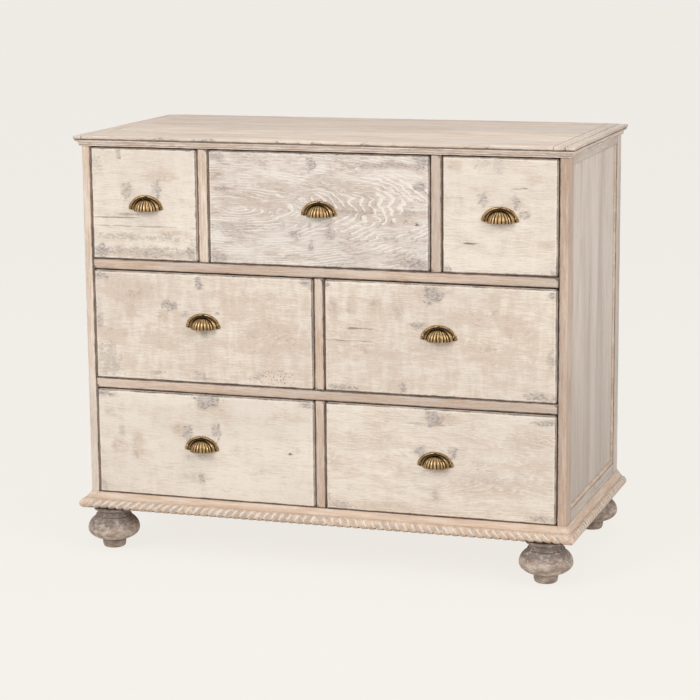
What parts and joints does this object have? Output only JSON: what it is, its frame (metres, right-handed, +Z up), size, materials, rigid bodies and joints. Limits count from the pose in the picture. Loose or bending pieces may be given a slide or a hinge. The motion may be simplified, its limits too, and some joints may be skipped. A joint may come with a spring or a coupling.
{
  "type": "chest of drawers",
  "caption": "Low pine chest with rows of drawers, a moulded top, a rope-carved base, bun feet and cup pulls, in a worn limed finish.",
  "frame": {"origin": "on the floor, under the middle of the chest's overall length and depth", "axes": "+X to the right as seen from the front, +Y towards the back, so the drawers open towards -Y, +Z up"},
  "size_m": [1.166, 0.5846, 0.9548],
  "materials": {
    "limed_drawer_front": "worn cream lime wash",
    "rubbed_frame": "lime wash rubbed back to pinkish pine",
    "limed_side": "worn grey lime wash",
    "limed_top": "worn lime wash",
    "rope_moulding": "lime wash over carving",
    "worn_foot": "dark grey stain, worn",
    "raw_pine": "unfinished",
    "antique_brass": "antique, dark in the hollows"
  },
  "bodies": {
    "carcase": {"post_front_left": "rubbed_frame", "post_front_right": "rubbed_frame", "post_rear_left": "rubbed_frame", "post_rear_right": "rubbed_frame", "side_top_rail_left": "limed_side", "side_top_rail_right": "limed_side", "side_foot_rail_left": "limed_side", "side_foot_rail_right": "limed_side", "side_panel_left": "limed_side", "side_panel_right": "limed_side", "side_bead_left": "rubbed_frame", "side_bead_right": "rubbed_frame", "bottom_front_rail": "rubbed_frame", "lower_drawer_rail": "rubbed_frame", "upper_drawer_rail": "rubbed_frame", "top_front_rail": "rubbed_frame", "top_divider_left": "rubbed_frame", "top_divider_right": "rubbed_frame", "middle_divider": "rubbed_frame", "bottom_divider": "rubbed_frame", "lower_dust_board": "raw_pine", "upper_dust_board": "raw_pine", "bottom_board": "raw_pine", "back_panel": "raw_pine", "back_top_rail": "raw_pine", "top_board": "limed_top", "top_end_left": "limed_top", "top_end_right": "limed_top", "cornice_front": "rubbed_frame", "cornice_left": "rubbed_frame", "cornice_right": "rubbed_frame", "base_moulding_front": "rope_moulding", "base_moulding_left": "rope_moulding", "base_moulding_right": "rope_moulding", "bun_foot_front_left": "worn_foot", "bun_foot_front_right": "worn_foot", "bun_foot_rear_left": "worn_foot", "bun_foot_rear_right": "worn_foot"},
    "drawer_top_left": {"drawer_front_top_left": "limed_drawer_front", "drawer_box_top_left": "raw_pine", "cup_pull_top_left": "antique_brass"},
    "drawer_top_middle": {"drawer_front_top_middle": "limed_drawer_front", "drawer_box_top_middle": "raw_pine", "cup_pull_top_middle": "antique_brass"},
    "drawer_top_right": {"drawer_front_top_right": "limed_drawer_front", "drawer_box_top_right": "raw_pine", "cup_pull_top_right": "antique_brass"},
    "drawer_middle_left": {"drawer_front_middle_left": "limed_drawer_front", "drawer_box_middle_left": "raw_pine", "cup_pull_middle_left": "antique_brass"},
    "drawer_middle_right": {"drawer_front_middle_right": "limed_drawer_front", "drawer_box_middle_right": "raw_pine", "cup_pull_middle_right": "antique_brass"},
    "drawer_bottom_left": {"drawer_front_bottom_left": "limed_drawer_front", "drawer_box_bottom_left": "raw_pine", "cup_pull_bottom_left": "antique_brass"},
    "drawer_bottom_right": {"drawer_front_bottom_right": "limed_drawer_front", "drawer_box_bottom_right": "raw_pine", "cup_pull_bottom_right": "antique_brass"}
  },
  "joints": [
    {"name": "slide_top_left", "type": "slide", "parent": "carcase", "child": "drawer_top_left", "axis": [0, -1, 0], "range_m": [0, 0.36]},
    {"name": "slide_top_middle", "type": "slide", "parent": "carcase", "child": "drawer_top_middle", "axis": [0, -1, 0], "range_m": [0, 0.36]},
    {"name": "slide_top_right", "type": "slide", "parent": "carcase", "child": "drawer_top_right", "axis": [0, -1, 0], "range_m": [0, 0.36]},
    {"name": "slide_middle_left", "type": "slide", "parent": "carcase", "child": "drawer_middle_left", "axis": [0, -1, 0], "range_m": [0, 0.36]},
    {"name": "slide_middle_right", "type": "slide", "parent": "carcase", "child": "drawer_middle_right", "axis": [0, -1, 0], "range_m": [0, 0.36]},
    {"name": "slide_bottom_left", "type": "slide", "parent": "carcase", "child": "drawer_bottom_left", "axis": [0, -1, 0], "range_m": [0, 0.36]},
    {"name": "slide_bottom_right", "type": "slide", "parent": "carcase", "child": "drawer_bottom_right", "axis": [0, -1, 0], "range_m": [0, 0.36]}
  ]
}
